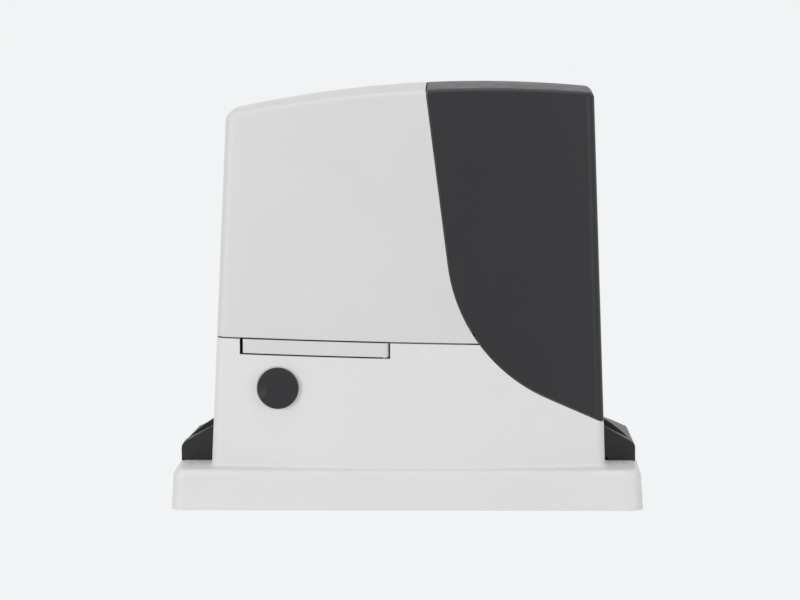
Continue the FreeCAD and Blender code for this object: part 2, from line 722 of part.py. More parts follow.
def make_worm():
    pitch = math.pi * worm_module
    root_r = worm_pitch_r - 1.2 * worm_module
    tip_r = worm_pitch_r + worm_module
    slope = math.tan(math.radians(20))
    half = (pitch / 2 - backlash) / 2
    foot = 0.4
    at_root = half + (worm_pitch_r - root_r + foot) * slope
    at_tip = half - (tip_r - worm_pitch_r) * slope
    points = [Vector(root_r - foot, 0, -at_root), Vector(tip_r, 0, -at_tip), Vector(tip_r, 0, at_tip),
              Vector(root_r - foot, 0, at_root)]
    profile = Part.makePolygon(points + points[:1])
    turns = 2 * round(worm_half / pitch)
    length = turns * pitch
    helix = Part.makeHelix(pitch, length, root_r)
    thread = Part.Wire(helix.Edges).makePipeShell([profile], True, True)
    thread.translate(Vector(worm_x, wheel_y, shaft_z - length / 2))
    z0 = shaft_z - 40
    core = rod_z(root_r, z0 + 8, 134, worm_x, wheel_y)
    low = rod_z(5.0, z0, z0 + 8, worm_x, wheel_y)
    high = rod_z(5.0, 134, motor_bottom + motor_length + 14, worm_x, wheel_y)
    return fuse(core, thread, low, high)


# ---- gear case -------------------------------------------------------------------------------------
def case_screws(r, y0, y1):
    out = []
    for a in case_screw_angles:
        t = math.radians(a)
        out.append(rod_y(r, y0, y1, case_screw_r * math.cos(t), shaft_z + case_screw_r * math.sin(t)))
    return out


def motor_bolt_holes():
    out = []
    for a in motor_bolt_angles:
        t = math.radians(a)
        x, y = worm_x + motor_bolt_r * math.cos(t), wheel_y + motor_bolt_r * math.sin(t)
        out.append(rod_z(2.0, motor_bottom - 8, FAR, x, y))
    return out


def feet_holes():
    return [rod_z(3.0, base_height - base_top + 0.5, foot_z + 11, x, y)
            for x in (-40, 40) for y in (-18, 2)]


def make_gearcase_rear():
    y0 = case_joint_y
    outer = rod_y(case_r, y0, case_rear_y, 0, shaft_z)
    flange = rod_y(case_screw_r + 5, y0, y0 + 5, 0, shaft_z)
    boss = rod_y(boss_r, case_rear_y - 1, boss_end, 0, shaft_z)
    tube = rod_z(tube_r, 46, motor_bottom - 8, worm_x, wheel_y)
    plate = box(worm_x - 34, worm_x + 34, wheel_y - 34, wheel_y + 34, motor_bottom - 9, motor_bottom)
    plate = round_edges(plate, 8.0, lambda b: b.ZLength > 8 and b.XLength < 0.01 and b.YLength < 0.01)
    feet = box(-50, 50, y0 + 5, 10, foot_z, foot_z + 18)
    ribs = [box(-3, 3, case_rear_y - 1, 30, shaft_z - case_r + 4, shaft_z - boss_r + 2)]
    ribs.append(box(-case_r + 6, -boss_r + 2, case_rear_y - 1, 30, shaft_z - 3, shaft_z + 3))
    solid = fuse(outer, flange, boss, tube, plate, feet, *ribs)
    cuts = [rod_y(case_r - case_wall, y0 - 1, case_rear_y - 4, 0, shaft_z)]
    cuts.append(rod_z(14.0, 54, motor_bottom - 17, worm_x, wheel_y))
    cuts.append(rod_z(8.0, 48, 60, worm_x, wheel_y))
    cuts.append(rod_z(13.0, motor_bottom - 18, motor_bottom + 1, worm_x, wheel_y))
    cuts.append(rod_y(15.0, case_rear_y - 5, boss_end + 1, 0, shaft_z))
    cuts.append(rod_y(bearing_outer_r, rear_bearing_y, boss_end + 1, 0, shaft_z))
    cuts += case_screws(2.1, y0 - 1, y0 + 4)
    cuts += motor_bolt_holes()
    cuts += feet_holes()
    return solid.cut(cuts)


def make_gearcase_front():
    y1 = case_joint_y
    flange = rod_y(case_screw_r + 5, y1 - 5, y1, 0, shaft_z)
    cone = Part.makeCone(boss_r, case_screw_r - 8, 14, Vector(0, y1 - 18, shaft_z), axis_y)
    neck = rod_y(boss_r, front_bearing_y - 4, y1 - 4, 0, shaft_z)
    ribs = []
    for i in range(6):
        rib = box(boss_r - 3, case_screw_r, y1 - 20, y1 - 3, shaft_z - 2, shaft_z + 2)
        rib = turned(rib, 60 * i, (0, 0, shaft_z), axis_y)
        ribs.append(rib)
    solid = fuse(flange, cone, neck, *ribs)
    cuts = [rod_y(21.5, front_bearing_y + bearing_width, y1 + 1, 0, shaft_z)]
    cuts.append(rod_y(bearing_outer_r, front_bearing_y, front_bearing_y + bearing_width, 0, shaft_z))
    cuts.append(rod_y(11.5, front_bearing_y - 10, front_bearing_y + 1, 0, shaft_z))
    cuts += case_screws(2.1, y1 - 6, y1 + 1)
    cuts += case_screws(4.4, y1 - 30, y1 - 5)
    # room for the motor's seat
    cuts.append(box(worm_x - 36, FAR, wheel_y - 36, FAR, motor_bottom - 11, FAR))
    # window for the release yoke
    top = shaft_z + sleeve_r + 0.6
    cuts.append(box(-26, 9, groove_y - release_travel - 5, groove_y + 5, shaft_z + 10, FAR))
    cuts.append(box(-26, -12, front_bearing_y - 10, groove_y, top, FAR))
    return solid.cut(cuts)


def make_bearings():
    outers, inners, balls = [], [], []
    track_r = (bearing_outer_r + journal_r) / 2
    ball_r = 3.8
    for y in (front_bearing_y, rear_bearing_y):
        w = bearing_width
        outer = ring_y(bearing_outer_r, track_r + 2.25, y, y + w, 0, shaft_z)
        inner = ring_y(track_r - 2.25, journal_r, y, y + w, 0, shaft_z)
        track = Part.makeTorus(track_r, ball_r + 0.15, Vector(0, y + w / 2, shaft_z), axis_y)
        outers.append(outer.cut(track))
        inners.append(inner.cut(track))
        for i in range(8):
            a = math.radians(45 * i + 22.5)
            centre = Vector(track_r * math.cos(a), y + w / 2, shaft_z + track_r * math.sin(a))
            balls.append(Part.makeSphere(ball_r, centre))
    return {"bearing_outer_rings": group(outers), "bearing_inner_rings": group(inners),
            "bearing_balls": group(balls)}


def make_motor():
    z0, z1 = motor_bottom, motor_bottom + motor_length
    x, y = worm_x, wheel_y
    front = rod_z(motor_r, z0, z0 + 8, x, y).cut(rod_z(5 + 0.6, z0 - 1, z0 + 9, x, y))
    can = ring_z(motor_r, motor_r - 2.5, z0 + 8, z1 - 10, x, y)
    cap = rod_z(motor_r, z1 - 10, z1, x, y)
    cap = round_edges(cap, 6.0, lambda b: b.ZLength < 0.01 and b.ZMin > z1 - 1)
    cap = cap.cut([rod_z(motor_r - 6, z1 - 11, z1 - 4, x, y), rod_z(5.6, z1 - 11, z1 + 1, x, y)])
    magnets = []
    for side in (0, 180):
        shoe = ring_z(motor_r - 2.5, motor_r - 9, z0 + 18, z1 - 22, x, y)
        shoe = shoe.cut([box(x - FAR, x + 8, y - FAR, y + FAR, 0, FAR)])
        magnets.append(turned(shoe, side, (x, y, 0), axis_z))
    rotor = ring_z(motor_r - 10, 5.0, z0 + 20, z1 - 28, x, y)
    cuts = []
    for i in range(10):
        slot = box(x + 18, x + motor_r, y - 1.4, y + 1.4, 0, FAR)
        cuts.append(turned(slot, 36 * i, (x, y, 0), axis_z))
    rotor = rotor.cut(cuts)
    commutator = ring_z(11.0, 5.0, z1 - 26, z1 - 14, x, y)
    groove = box(x + 9.5, x + 12, y - 0.4, y + 0.4, 0, FAR)
    commutator = commutator.cut([turned(groove, 36 * i, (x, y, 0), axis_z) for i in range(10)])
    brush = box(x + 11.3, x + 26, y - 3.5, y + 3.5, z1 - 24, z1 - 15)
    brushes = [turned(brush, side, (x, y, 0), axis_z) for side in (0, 180)]
    encoder = ring_z(15.0, 5.0, z1 + 6, z1 + 8, x, y)
    window = box(x + 11, x + 14, y - 0.9, y + 0.9, z1, z1 + 20)
    encoder = encoder.cut([turned(window, 30 * i, (x, y, 0), axis_z) for i in range(12)])
    hub = ring_z(8.0, 5.0, z1 + 3, z1 + 6, x, y)
    holes = motor_bolt_holes()
    bolts = []
    for a in motor_bolt_angles:
        t = math.radians(a)
        bx, by = x + motor_bolt_r * math.cos(t), y + motor_bolt_r * math.sin(t)
        bolts.append(fuse(rod_z(4.0, z1, z1 + 3, bx, by), rod_z(2.0, z0 - 8, z1 + 1, bx, by)))
    magnets = [m.cut(holes) for m in magnets]
    return {"motor_front_shield": front.cut(holes), "motor_can": group([can] + magnets),
            "motor_rear_cap": group([cap.cut(holes)] + brushes), "motor_rotor": group([rotor, commutator]),
            "encoder_disc": fuse(encoder, hub), "motor_bolts": group(bolts)}


def make_worm_bearings():
    x, y = worm_x, wheel_y
    z0 = shaft_z - 40
    low = ring_z(8.0, 5.0 + running, z0, z0 + 7, x, y)
    high = ring_z(13.0, 5.0 + running, motor_bottom - 15, motor_bottom - 5, x, y)
    return group([low, high])


# ---- electrics -----------------------------------------------------------------------------------------
def make_electrics():
    x0, x1 = board_x
    z0, z1 = board_z
    front = board_y - board_thickness
    tray = box(x0 - 2, x1 + 2, board_y + 4, board_y + 6.5, z0 - 4, z1 + 4)
    windows = [box(x0 + 8, (x0 + x1) / 2 - 4, -FAR, FAR, z0 + 12, z1 - 14)]
    windows.append(box((x0 + x1) / 2 + 4, x1 - 8, -FAR, FAR, z0 + 12, z1 - 14))
    tray = tray.cut(windows)
    leg = box(x1 - 34, x1 - 8, board_y + 4, board_y + 6.5, base_height, z0)
    foot = box(x1 - 34, x1 - 8, board_y + 4, board_y + 20, base_height, base_height + 3)
    posts = []
    for x in (x0 + 5, x1 - 5):
        for z in (z0 + 5, z1 - 5):
            posts.append(rod_y(3.0, board_y, board_y + 5, x, z))
    tray = fuse(tray, leg, foot, *posts)
    board = box(x0, x1, front, board_y, z0, z1)
    terminals = []
    for i in range(5):
        cx = x0 + 10 + i * 15.5
        block = box(cx, cx + 14, front - 10, front, z0 + 9, z0 + 19)
        for k in range(3):
            way = cx + 2.5 + 4.5 * k
            well = rod_y(1.9, front - 11, front - 7, way, z0 + 15)
            block = block.cut([well, box(way - 1.5, way + 1.5, front - 6, front - 2, z0 + 8, z0 + 13)])
        terminals.append(block)
    relays = [box(x0 + 10 + i * 22, x0 + 28 + i * 22, front - 13, front, z1 - 40, z1 - 14) for i in range(2)]
    relays = [round_edges(r, 1.0, lambda b: b.YLength > 12) for r in relays]
    capacitors = [rod_y(6.5, front - 16, front, x0 + 60 + 15 * i, z1 - 30) for i in range(2)]
    capacitors = [round_edges(c, 0.8, lambda b: b.YLength < 0.01 and b.YMin < front - 15) for c in capacitors]
    chips = [box(x0 + 16, x0 + 28, front - 2, front, z0 + 56, z0 + 68)]
    chips.append(box(x0 + 40, x0 + 46, front - 1.8, front, z0 + 58, z0 + 64))
    chips.append(box(x0 + 28, x0 + 38, front - 3, front, z0 + 76, z0 + 82))
    sink = box(x0 + 52, x1 - 8, front - 13, front, z1 - 66, z1 - 46)
    for i in range(5):
        left = x0 + 54 + 3.6 * i
        sink = sink.cut(box(left, left + 1.8, front - 14, front - 3, z1 - 70, z1 - 40))
    bezel = box(x0 + 44, x0 + 68, front - 7, front, z0 + 36, z0 + 48)
    for x in button_x:
        housing = box(x - 3.2, x + 3.2, front - 4, front, button_z - 3.2, button_z + 3.2)
        chips.append(housing.cut(rod_y(1.8, front - 5, front - 0.6, x, button_z)))
    out = {"board_tray": tray, "control_board": board,
           "terminal_blocks": group(terminals), "relays": group(relays), "capacitors": group(capacitors),
           "board_chips": group(chips), "heatsink": sink, "display": bezel}
    for name, x in zip(("button_up", "button_enter", "button_down"), button_x):
        out["program_" + name] = rod_y(1.7, front - 5.6, front - 1.4, x, button_z)
    return out


def make_transformer():
    x, y0, z = transformer_x, transformer_y, transformer_z
    y1 = y0 + transformer_length
    bolt_hole = rod_y(transformer_bolt_r, -FAR, FAR, x, z)
    coil = ring_y(transformer_r, transformer_bore_r, y0, y1, x, z)
    coil = round_edges(coil, 9.0, lambda b: b.YLength < 0.01)
    plate = box(x - 30, x + 22, y1 + 0.5, y1 + 3, base_height, z + 30)
    foot = box(x - 30, x + 16, y1 - 17.5, y1 + 1, base_height, base_height + 3)
    bracket = fuse(plate, foot).cut(bolt_hole)
    cup = Part.makeCone(20.0, 24.0, 4.0, Vector(x, y0 - 2.5, z), axis_y).cut([bolt_hole, coil])
    bolt = fuse(hexagon_y(10, y0 - 6.5, y0 - 2.5, x, z), rod_y(transformer_bolt_r, y0 - 3, y1 + 10, x, z))
    return {"transformer_winding": coil, "transformer_bracket": bracket,
            "transformer_fixing": fuse(cup, bolt)}


def make_mains_terminal():
    base = box(58, 88, 8, 28, base_height, base_height + 6)
    block = box(60, 86, 10, 26, base_height + 6, base_height + 22)
    wells = [rod_z(2.2, base_height + 14, FAR, 64.5 + 8.5 * i, 18) for i in range(3)]
    return fuse(base, block).cut(wells)


def make_grommet():
    z1 = base_height
    z0 = z1 - base_top
    tube = ring_z(grommet_seat_r - 2, grommet_hole_r, z0 - 2, z1 + 2, grommet_x, grommet_y)
    rims = []
    for z in (z0 - 2, z1):
        rims.append(ring_z(grommet_seat_r + 1, grommet_hole_r, z, z + 2, grommet_x, grommet_y))
    return fuse(tube, *rims)


# ---- limit switch --------------------------------------------------------------------------------------
def make_limit_switch():
    body = box(-20, 20, limit_y - 9, limit_y + 9, limit_z + 2, limit_z + 36)
    body = round_edges(body, 3.0, lambda b: b.ZLength > 30)
    foot = box(-24, 24, limit_y - 9, limit_y + 9, limit_z - 12, limit_z + 4)
    foot = foot.cut(rod_y(boss_r, -FAR, FAR, 0, shaft_z))
    neck = rod_z(7.0, limit_z + 35, limit_z + 38, 0, limit_y)
    body = fuse(body, foot, neck).cut(rod_z(3.0 + running, limit_z + 20, limit_z + 50, 0, limit_y))
    z = limit_z + 43.0
    hub = rod_z(7.0, limit_z + 38.3, limit_z + 48, 0, limit_y)
    pin = rod_z(3.0, limit_z + 22, limit_z + 40, 0, limit_y)
    stem = rod_y(1.6, limit_y + 5, 94, 0, z)
    tip = Part.makeSphere(2.6, Vector(0, 94, z))
    helix = Part.makeHelix(2.6, 30, 2.2)
    profile = Part.Wire(Part.makeCircle(0.6, Vector(2.2, 0, 0), Vector(0, 1, 0)))
    coil = Part.Wire(helix.Edges).makePipeShell([profile], True, True)
    coil.rotate(Vector(0, 0, 0), Vector(1, 0, 0), -90)
    coil = moved(coil, 0, limit_y + 8, z)
    return {"limit_switch_body": body, "limit_switch_lever": fuse(hub, pin, stem, tip),
            "limit_switch_spring": coil}


# ---- fixing covers and fasteners ---------------------------------------------------------------------
def cap_section(crest, outer, share, y, shrink):
    """Outline of a fixing cover on the right side in the plane y, moved in by shrink.

    share scales the crest's height over the base's top."""
    points = []
    for inward, height in crest:
        z = base_height + share * height - shrink
        points.append(Vector(outer - shrink - inward, y, z))
    start, end = points[0], points[-1]
    low = base_height - base_edge_r
    sides = Part.makePolygon([end, Vector(end.x, y, low), Vector(start.x, y, low), start])
    slope = Part.Arc(*points[:3]).toShape()
    shoulder = Part.Arc(*points[2:]).toShape()
    return Part.Wire([slope, shoulder] + sides.Edges)


def cap_block(crest, outer, y0, y1, share, shrink):
    """Solid between the sections at y0 and y1, whose crest falls to share of its height."""
    wires = [cap_section(crest, outer, 1.0, y0, shrink), cap_section(crest, outer, share, y1, shrink)]
    return Part.makeLoft(wires, True, True)


def make_fixing_cover(side):
    """Fixing cover beside the body: side is 1 on the right and -1 on the left."""
    back = cap_front + cap_rim + cap_slit
    wall_x = body_right if side > 0 else -body_left
    rim = cap_block(cap_rim_crest, cap_outer - cap_rim_step, cap_front, cap_front + cap_rim, 1.0, 0.0)
    rear = cap_block(cap_crest, cap_outer, back, cap_rear, cap_rear_share, 0.0)
    web = cap_block(cap_rim_crest, cap_outer - cap_rim_step, cap_front + 2, back + 2, 1.0, 3.0)
    hollow = cap_block(cap_rim_crest, cap_outer - cap_rim_step, cap_front + cap_wall, cap_rear - cap_wall,
                       cap_rear_share, cap_wall + 1.5)
    low = box(0, cap_outer - cap_wall - 2.0, cap_front + cap_wall, cap_rear - cap_wall, 0, base_height + 3)
    inside = box(wall_x + cap_gap + cap_wall, FAR, -FAR, FAR, 0, FAR)
    solid = fuse(rim, rear, web).cut([hollow.common(inside), low.common(inside)])
    if side < 0:
        solid = solid.mirror(Vector(0, 0, 0), Vector(1, 0, 0))
    seat = base_form(-cap_seat_gap, 0, base_height + cap_seat_gap)
    seat = round_edges(seat, base_edge_r, lambda b: b.ZMin > base_height)
    foot = body_form(-base_root_r - cap_gap)
    foot = foot.common(box(-FAR, FAR, -FAR, FAR, 0, base_height + base_root_r + 0.6))
    return solid.cut([seat, body_form(-cap_gap), foot])


def make_fasteners():
    level = []
    for x in (-level_x, level_x):
        for y in level_y:
            screw = rod_z(level_r, level_top - level_length, level_top, x, y)
            level.append(screw.cut(rod_z(level_socket_r, level_top - 3.5, level_top + 1, x, y)))
    case = []
    for a in case_screw_angles:
        t = math.radians(a)
        x, z = case_screw_r * math.cos(t), shaft_z + case_screw_r * math.sin(t)
        shank = rod_y(2.1, case_joint_y - 6, case_joint_y + 4, x, z)
        case.append(fuse(shank, rod_y(4.2, case_joint_y - 8, case_joint_y - 5, x, z)))
    feet = feet_holes()
    covers = []
    y_out = body_rear - (cover_screw_z - base_height) * math.tan(rear_draft)
    for x in cover_screw_x:
        shank = rod_y(cover_screw_r, y_out - 9, y_out + 1, x, cover_screw_z)
        covers.append(fuse(shank, rod_y(2 * cover_screw_r, y_out + 0.2, y_out + 2.6, x, cover_screw_z)))
    y_out = body_rear - (side_screw_z - base_height) * math.tan(rear_draft)
    side = fuse(rod_y(side_screw_r, y_out - 9, y_out + 1, side_screw_x, side_screw_z),
                rod_y(2 * side_screw_r, y_out + 0.4, y_out + 3.2, side_screw_x, side_screw_z))
    return {"levelling_screws": group(level), "gearcase_screws": group(case + feet),
            "upper_cover_screws": group(covers), "side_cover_screw": side}


def make_parts():
    parts = {"lower_body": make_lower_body(), "upper_cover": make_upper_cover(),
             "side_cover": make_side_cover()}
    parts["release_handle"] = make_release_handle()
    parts["handle_pin"] = rod_z(handle_pin_r, 92, split_at(hinge_x) - seam, hinge_x, hinge_y)
    parts["release_yoke"] = make_release_yoke()
    parts["lock_cover_disc"] = make_lock_cover_disc()
    parts.update(make_lock_parts())
    parts["output_shaft"] = make_output_shaft()
    parts["output_pinion"] = make_pinion()
    parts.update(make_pinion_fixings())
    parts.update(make_wheel_parts())
    parts["clutch_sleeve"] = make_clutch_sleeve()
    parts["clutch_spring"] = make_clutch_spring()
    parts["worm_shaft"] = make_worm()
    parts["gearcase_rear"] = make_gearcase_rear()
    parts["gearcase_front"] = make_gearcase_front()
    parts.update(make_bearings())
    parts["worm_bearings"] = make_worm_bearings()
    seal_y = rear_bearing_y + bearing_width
    parts["shaft_seal"] = ring_y(bearing_outer_r, journal_r + running, seal_y, boss_end, 0, shaft_z)
    parts.update(make_motor())
    parts.update(make_electrics())
    parts.update(make_transformer())
    parts["mains_terminal"] = make_mains_terminal()
    parts["cable_grommet"] = make_grommet()
    parts.update(make_limit_switch())
    parts["fixing_cover_right"] = make_fixing_cover(1)
    parts["fixing_cover_left"] = make_fixing_cover(-1)
    parts.update(make_fasteners())
    return parts


os.makedirs("parts", exist_ok=True)
for name, shape in make_parts().items():
    shape.exportStep(os.path.join("parts", name + ".step"))
    print(name, len(shape.Solids), round(shape.Volume), shape.isValid())
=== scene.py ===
import json
import math

import bpy
from mathutils import Matrix, Vector


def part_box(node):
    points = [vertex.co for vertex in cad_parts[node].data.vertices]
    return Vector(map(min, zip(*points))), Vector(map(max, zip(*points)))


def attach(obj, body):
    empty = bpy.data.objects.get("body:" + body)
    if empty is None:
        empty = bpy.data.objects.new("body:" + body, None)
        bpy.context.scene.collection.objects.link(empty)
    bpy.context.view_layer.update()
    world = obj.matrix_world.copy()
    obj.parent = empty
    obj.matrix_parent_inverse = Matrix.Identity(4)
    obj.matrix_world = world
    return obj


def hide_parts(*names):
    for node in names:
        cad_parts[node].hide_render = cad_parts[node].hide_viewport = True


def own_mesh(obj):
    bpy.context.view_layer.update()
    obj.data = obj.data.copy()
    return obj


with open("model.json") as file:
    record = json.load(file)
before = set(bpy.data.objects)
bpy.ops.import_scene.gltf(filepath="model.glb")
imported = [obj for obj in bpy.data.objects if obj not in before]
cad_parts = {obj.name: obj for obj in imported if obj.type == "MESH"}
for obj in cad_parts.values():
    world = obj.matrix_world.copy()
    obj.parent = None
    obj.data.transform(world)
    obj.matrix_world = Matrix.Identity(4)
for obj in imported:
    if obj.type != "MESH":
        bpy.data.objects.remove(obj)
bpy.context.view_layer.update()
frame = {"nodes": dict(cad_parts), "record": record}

NODES = frame["nodes"]
MM = 0.001

# Sockets of Blender's Mix node when it mixes colours
MIX_FACTOR, MIX_FIRST, MIX_SECOND, MIX_RESULT = 0, 6, 7, 2

# The part of a noise's range that is spread over the whole of what it drives
NOISE_LOW, NOISE_HIGH = 0.3, 0.7

# How open a spot is where its painted shade is darkest, and where it has its plain colour
SHUT, OPEN = 0.1, 0.5
OPENNESS_SAMPLES = 8


# ---- materials ---------------------------------------------------------------------
class Recipe:
    """A procedural material: a Principled shader with noise for colour, roughness and relief."""

    def __init__(self, name, colour, roughness, metallic=0.0):
        self.material = bpy.data.materials.new(name)
        self.material.use_nodes = True
        self.nodes = self.material.node_tree.nodes
        self.links = self.material.node_tree.links
        self.shader = self.nodes["Principled BSDF"]
        self.shader.inputs["Base Color"].default_value = (*colour, 1)
        self.shader.inputs["Roughness"].default_value = roughness
        self.shader.inputs["Metallic"].default_value = metallic
        self.colour = colour
        self.roughness = roughness
        self.place = self.nodes.new("ShaderNodeTexCoord").outputs["Object"]
        self.normal = None

    def node(self, kind, **inputs):
        made = self.nodes.new(kind)
        for key, value in inputs.items():
            made.inputs[key].default_value = value
        return made

    def stretched(self, scale):
        """The place on the object, scaled differently along x, y and z."""
        mapping = self.node("ShaderNodeMapping", Scale=scale)
        self.links.new(self.place, mapping.inputs["Vector"])
        return mapping.outputs["Vector"]

    def noise(self, scale, detail, vector=None):
        made = self.node("ShaderNodeTexNoise", Scale=scale, Detail=detail)
        self.links.new(vector or self.place, made.inputs["Vector"])
        return made.outputs["Fac"]

    def ramp(self, source, low, high, a, b):
        """Maps source from low..high to a..b."""
        made = self.node("ShaderNodeMapRange")
        for key, value in (("From Min", low), ("From Max", high), ("To Min", a), ("To Max", b)):
            made.inputs[key].default_value = value
        self.links.new(source, made.inputs["Value"])
        return made.outputs["Result"]

    def colour_mix(self):
        mix = self.nodes.new("ShaderNodeMix")
        mix.data_type = "RGBA"
        return mix

    def between(self, factor, first, second):
        """Colours the surface from first to second as factor goes from 0 to 1."""
        mix = self.colour_mix()
        mix.inputs[MIX_FIRST].default_value = (*first, 1)
        mix.inputs[MIX_SECOND].default_value = (*second, 1)
        self.links.new(factor, mix.inputs[MIX_FACTOR])
        self.links.new(mix.outputs[MIX_RESULT], self.shader.inputs["Base Color"])
        return self

    def mottle(self, scale, amount, detail=2.0, vector=None):
        """Varies the colour's lightness by amount either way."""
        factor = self.ramp(self.noise(scale, detail, vector), NOISE_LOW, NOISE_HIGH, 0.0, 1.0)
        low = [c * (1 - amount) for c in self.colour]
        high = [min(1.0, c * (1 + amount)) for c in self.colour]
        return self.between(factor, low, high)

    def rough(self, scale, amount, detail=4.0, vector=None):
        """Varies the roughness by amount either way."""
        source = self.noise(scale, detail, vector)
        low, high = self.roughness - amount, self.roughness + amount
        varied = self.ramp(source, NOISE_LOW, NOISE_HIGH, low, high)
        self.links.new(varied, self.shader.inputs["Roughness"])
        return self

    def relief(self, height, scale=1.0, detail=2.0, vector=None, source=None):
        """Adds bump of this height in millimetres, from noise or from a source of its own."""
        bump = self.node("ShaderNodeBump", Distance=height * MM, Strength=1.0)
        self.links.new(source or self.noise(scale, detail, vector), bump.inputs["Height"])
        if self.normal:
            self.links.new(self.normal, bump.inputs["Normal"])
        self.normal = bump.outputs["Normal"]
        self.links.new(self.normal, self.shader.inputs["Normal"])
        return self

    def painted_crevice_shade(self, reach, depth):
        """Paints shade: darkens seams and corners narrower than reach, in millimetres, to depth of
        the colour.
        """
        shade = self.node("ShaderNodeAmbientOcclusion", Distance=reach * MM)
        shade.samples = OPENNESS_SAMPLES
        dim = self.ramp(shade.outputs["AO"], SHUT, OPEN, depth, 1.0)
        mix = self.colour_mix()
        mix.blend_type = "MULTIPLY"
        mix.inputs[MIX_FACTOR].default_value = 1.0
        base = self.shader.inputs["Base Color"]
        self.links.new(base.links[0].from_socket, mix.inputs[MIX_FIRST])
        self.links.new(dim, mix.inputs[MIX_SECOND])
        self.links.new(mix.outputs[MIX_RESULT], base)
        return self


def srgb(r, g, b):
    """Linear colour of an 8-bit display colour."""
    def linear(v):
        v /= 255
        return v / 12.92 if v <= 0.04045 else ((v + 0.055) / 1.055) ** 2.4
    return tuple(linear(v) for v in (r, g, b))


def painted(name, colour, roughness=0.45):
    """Powder coat: a very fine orange peel."""
    r = Recipe(name, colour, roughness)
    r.mottle(scale=9, amount=0.012).rough(scale=60, amount=0.05)
    r.relief(height=0.04, scale=900).relief(height=0.03, scale=260)
    # painted shade in seams and corners, from how open each spot is
    return r.painted_crevice_shade(reach=3.0, depth=0.25).material


def moulded(name, colour, roughness=0.4, grain=0.02, specular=0.5):
    """Moulded plastic: a fine spark-eroded grain."""
    r = Recipe(name, colour, roughness)
    r.shader.inputs["Specular IOR Level"].default_value = specular
    r.mottle(scale=12, amount=0.015).rough(scale=90, amount=0.05)
    r.relief(height=grain, scale=2200, detail=1.0)
    # painted shade in seams and corners, from how open each spot is
    return r.painted_crevice_shade(reach=2.5, depth=0.3).material


def metal(name, colour, roughness, grain=(1, 1, 1)):
    """Machined or plated metal, with grain stretched the way it was turned or rolled."""
    r = Recipe(name, colour, roughness, metallic=1.0)
    v = r.stretched(grain)
    r.mottle(scale=60, amount=0.06, detail=3, vector=v)
    r.rough(scale=140, amount=0.09, vector=v)
    return r.relief(height=0.01, scale=500, vector=v).material


def cast(name, colour):
    """Die-cast aluminium: grainy and uneven."""
    r = Recipe(name, colour, roughness=0.48, metallic=0.9)
    r.mottle(scale=25, amount=0.07).rough(scale=80, amount=0.08)
    return r.relief(height=0.08, scale=480).relief(height=0.05, scale=1500).material


def rubber(name, colour):
    """Rubber or soft vinyl: dull, with a slight unevenness."""
    r = Recipe(name, colour, roughness=0.72)
    r.mottle(scale=40, amount=0.08).rough(scale=200, amount=0.06)
    return r.relief(height=0.03, scale=1400).material


def circuit(name):
    """Green solder mask with faint copper tracks under it."""
    r = Recipe(name, srgb(22, 92, 48), roughness=0.28)
    tracks = r.node("ShaderNodeTexVoronoi", Scale=420)
    tracks.distance = "MANHATTAN"
    tracks.feature = "F2"
    r.links.new(r.place, tracks.inputs["Vector"])
    factor = r.ramp(tracks.outputs["Distance"], 0.5, 0.62, 0, 1)
    mask, over_copper = srgb(14, 70, 36), srgb(40, 122, 66)
    return r.between(factor, mask, over_copper).relief(height=0.03, source=factor).material


def wrapped(name):
    """The transformer's polyester film, wound in slanting turns."""
    r = Recipe(name, srgb(196, 160, 60), roughness=0.3)
    v = r.stretched((1, 0.3, 1))
    r.mottle(scale=160, amount=0.2, vector=v).rough(scale=200, amount=0.08)
    return r.relief(height=0.3, scale=190, detail=1, vector=v).material


CASTING = srgb(226, 224, 223)
COVER = srgb(217, 215, 214)
DARK = srgb(40, 40, 42)

MATERIALS = {
    "light_casting": painted("light_casting", CASTING),
    "light_plastic": moulded("light_plastic", COVER, 0.42),
    "dark_plastic": moulded("dark_plastic", DARK, 0.42, grain=0.03, specular=0.3),
    "cast_aluminium": cast("cast_aluminium", srgb(176, 178, 180)),
    "steel": metal("steel", srgb(176, 177, 180), 0.28, grain=(1, 0.2, 1)),
    "zinc_steel": metal("zinc_steel", srgb(198, 198, 192), 0.34),
    "bronze": metal("bronze", srgb(196, 150, 84), 0.32),
    "brass": metal("brass", srgb(214, 182, 106), 0.26),
    "rubber": rubber("rubber", srgb(34, 34, 35)),
    "motor_paint": painted("motor_paint", srgb(44, 45, 48), 0.36),
    "laminations": metal("laminations", srgb(150, 146, 140), 0.45, grain=(1, 1, 12)),
    "tray_plastic": moulded("tray_plastic", srgb(70, 71, 74)),
    "board": circuit("board"),
    "terminal_green": moulded("terminal_green", srgb(44, 128, 66), 0.35),
    "relay_body": moulded("relay_body", srgb(44, 62, 96), 0.3),
    "capacitor_sleeve": moulded("capacitor_sleeve", srgb(38, 44, 64), 0.28),
    "chip_black": moulded("chip_black", srgb(30, 30, 31), 0.45),
    "display_glass": moulded("display_glass", srgb(70, 16, 16), 0.12),
    "button_cap": moulded("button_cap", srgb(228, 226, 218)),
    "winding_tape": wrapped("winding_tape"),
    "terminal_grey": moulded("terminal_grey", srgb(168, 170, 172), 0.42),
}

INSULATION = {
    "brown": rubber("insulation_brown", srgb(96, 60, 38)),
    "blue": rubber("insulation_blue", srgb(44, 76, 150)),
    "red": rubber("insulation_red", srgb(168, 40, 34)),
    "black": rubber("insulation_black", srgb(32, 32, 33)),
}


def dress(obj, material):
    """Gives every face of obj the material."""
    obj.data.materials.clear()
    obj.data.materials.append(material)


for part in frame["record"]["subparts"]:
    dress(NODES[part["node"]], MATERIALS[part["material_slot"]])


# ---- tools for the detail pieces -------------------------------------------------------
BLOCK_FACES = ((0, 2, 3, 1), (4, 5, 7, 6), (0, 1, 5, 4), (2, 6, 7, 3), (0, 4, 6, 2), (1, 3, 7, 5))


